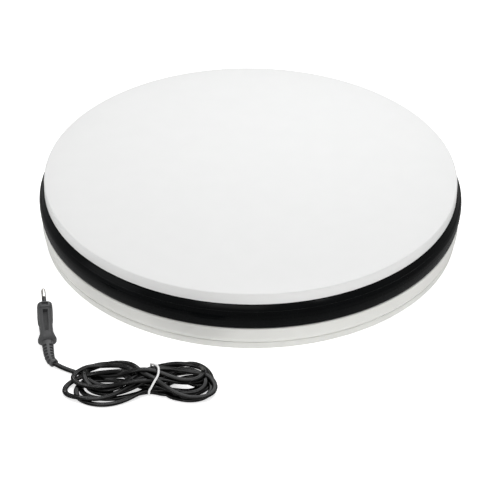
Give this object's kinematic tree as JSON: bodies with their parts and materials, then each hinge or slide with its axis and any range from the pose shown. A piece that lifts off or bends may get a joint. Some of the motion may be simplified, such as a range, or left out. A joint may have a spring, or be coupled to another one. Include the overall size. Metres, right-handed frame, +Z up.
{
  "type": "turntable display stand",
  "caption": "Low round motorised display turntable: a flat disc turns on a ribbed ring and a two-step base, with a tied detachable mains lead beside it.",
  "frame": {"origin": "on the standing surface, under the middle of the turntable", "axes": "+Z up along the turning axis, +Y towards the rear panel with the inlet, -Y towards the viewer"},
  "size_m": [0.4104, 0.4861, 0.0638],
  "materials": {
    "white_abs": "satin off-white moulded ABS",
    "gloss_black_ring": "gloss black with fine ribs",
    "black_plastic": "fine-textured black moulding",
    "switch_black": "satin black rocker",
    "black_rubber": "matt rubber",
    "bright_steel": "turned or pressed steel",
    "zinc_plated": "zinc plated steel",
    "natural_nylon": "natural nylon",
    "brass": "machined brass",
    "nickel": "nickel plated",
    "wire_red": "red insulation",
    "wire_blue": "blue insulation",
    "cord_black": "black flat twin flex",
    "tie_white": "white plastic-covered wire tie",
    "lead_moulding": "black overmoulding"
  },
  "bodies": {
    "base": {"base_shell": "white_abs", "bottom_pan": "white_abs", "bumper_ring": "gloss_black_ring", "rear_panel": "black_plastic", "power_inlet": "black_plastic", "switch_frame": "black_plastic", "gearbox": "black_plastic", "roller_stand_1": "black_plastic", "roller_stand_2": "black_plastic", "roller_stand_3": "black_plastic", "roller_stand_4": "black_plastic", "foot_1": "black_rubber", "foot_2": "black_rubber", "foot_3": "black_rubber", "foot_4": "black_rubber", "spindle": "bright_steel", "motor_bracket": "bright_steel", "roller_axle_1": "bright_steel", "roller_axle_2": "bright_steel", "roller_axle_3": "bright_steel", "roller_axle_4": "bright_steel", "retaining_washer": "zinc_plated", "retaining_nut": "zinc_plated", "motor_can": "zinc_plated", "pan_screw_1": "zinc_plated", "pan_screw_2": "zinc_plated", "pan_screw_3": "zinc_plated", "pan_screw_4": "zinc_plated", "spindle_screw_1": "zinc_plated", "spindle_screw_2": "zinc_plated", "spindle_screw_3": "zinc_plated", "motor_screw_left": "zinc_plated", "motor_screw_right": "zinc_plated", "bracket_screw_left": "zinc_plated", "bracket_screw_right": "zinc_plated", "thrust_washer": "natural_nylon", "inlet_contact_left": "nickel", "inlet_contact_right": "nickel", "lead_plug_pin_1": "nickel", "lead_plug_pin_2": "nickel", "wire_live": "wire_red", "wire_switched": "wire_red", "wire_neutral": "wire_blue", "lead_cable": "cord_black", "lead_tie": "tie_white", "lead_plug_body": "lead_moulding", "lead_connector": "lead_moulding"},
    "turntable": {"top_plate": "white_abs", "bearing_hub": "natural_nylon", "drive_gear": "natural_nylon", "plate_screw_1": "zinc_plated", "plate_screw_2": "zinc_plated", "plate_screw_3": "zinc_plated"},
    "motor_pinion": {"pinion": "brass", "output_shaft": "bright_steel"},
    "rocker": {"switch_rocker": "switch_black"},
    "support_roller_1": {"roller_1": "black_rubber"},
    "support_roller_2": {"roller_2": "black_rubber"},
    "support_roller_3": {"roller_3": "black_rubber"},
    "support_roller_4": {"roller_4": "black_rubber"}
  },
  "joints": [
    {"name": "turntable_spin", "type": "hinge", "parent": "base", "child": "turntable", "pos_m": [0, 0, 0.05], "axis": [0, 0, 1], "continuous": true},
    {"name": "pinion_spin", "type": "hinge", "parent": "base", "child": "motor_pinion", "pos_m": [0, 0.0564, 0.0457], "axis": [0, 0, 1], "continuous": true},
    {"name": "switch_rock", "type": "hinge", "parent": "base", "child": "rocker", "pos_m": [0.018, 0.196, 0.01845], "axis": [0, 0, 1], "range_deg": [0, 20]},
    {"name": "roller_1_spin", "type": "hinge", "parent": "base", "child": "support_roller_1", "pos_m": [0.11667, 0.11667, 0.0457], "axis": [0.7071, 0.7071, 0], "continuous": true},
    {"name": "roller_2_spin", "type": "hinge", "parent": "base", "child": "support_roller_2", "pos_m": [-0.11667, 0.11667, 0.0457], "axis": [-0.7071, 0.7071, 0], "continuous": true},
    {"name": "roller_3_spin", "type": "hinge", "parent": "base", "child": "support_roller_3", "pos_m": [-0.11667, -0.11667, 0.0457], "axis": [-0.7071, -0.7071, 0], "continuous": true},
    {"name": "roller_4_spin", "type": "hinge", "parent": "base", "child": "support_roller_4", "pos_m": [0.11667, -0.11667, 0.0457], "axis": [0.7071, -0.7071, 0], "continuous": true}
  ],
  "couplings": [
    {"joint": "pinion_spin", "follows": "turntable_spin", "ratio": -4},
    {"joint": "roller_1_spin", "follows": "turntable_spin", "ratio": -13.75},
    {"joint": "roller_2_spin", "follows": "turntable_spin", "ratio": -13.75},
    {"joint": "roller_3_spin", "follows": "turntable_spin", "ratio": -13.75},
    {"joint": "roller_4_spin", "follows": "turntable_spin", "ratio": -13.75}
  ]
}
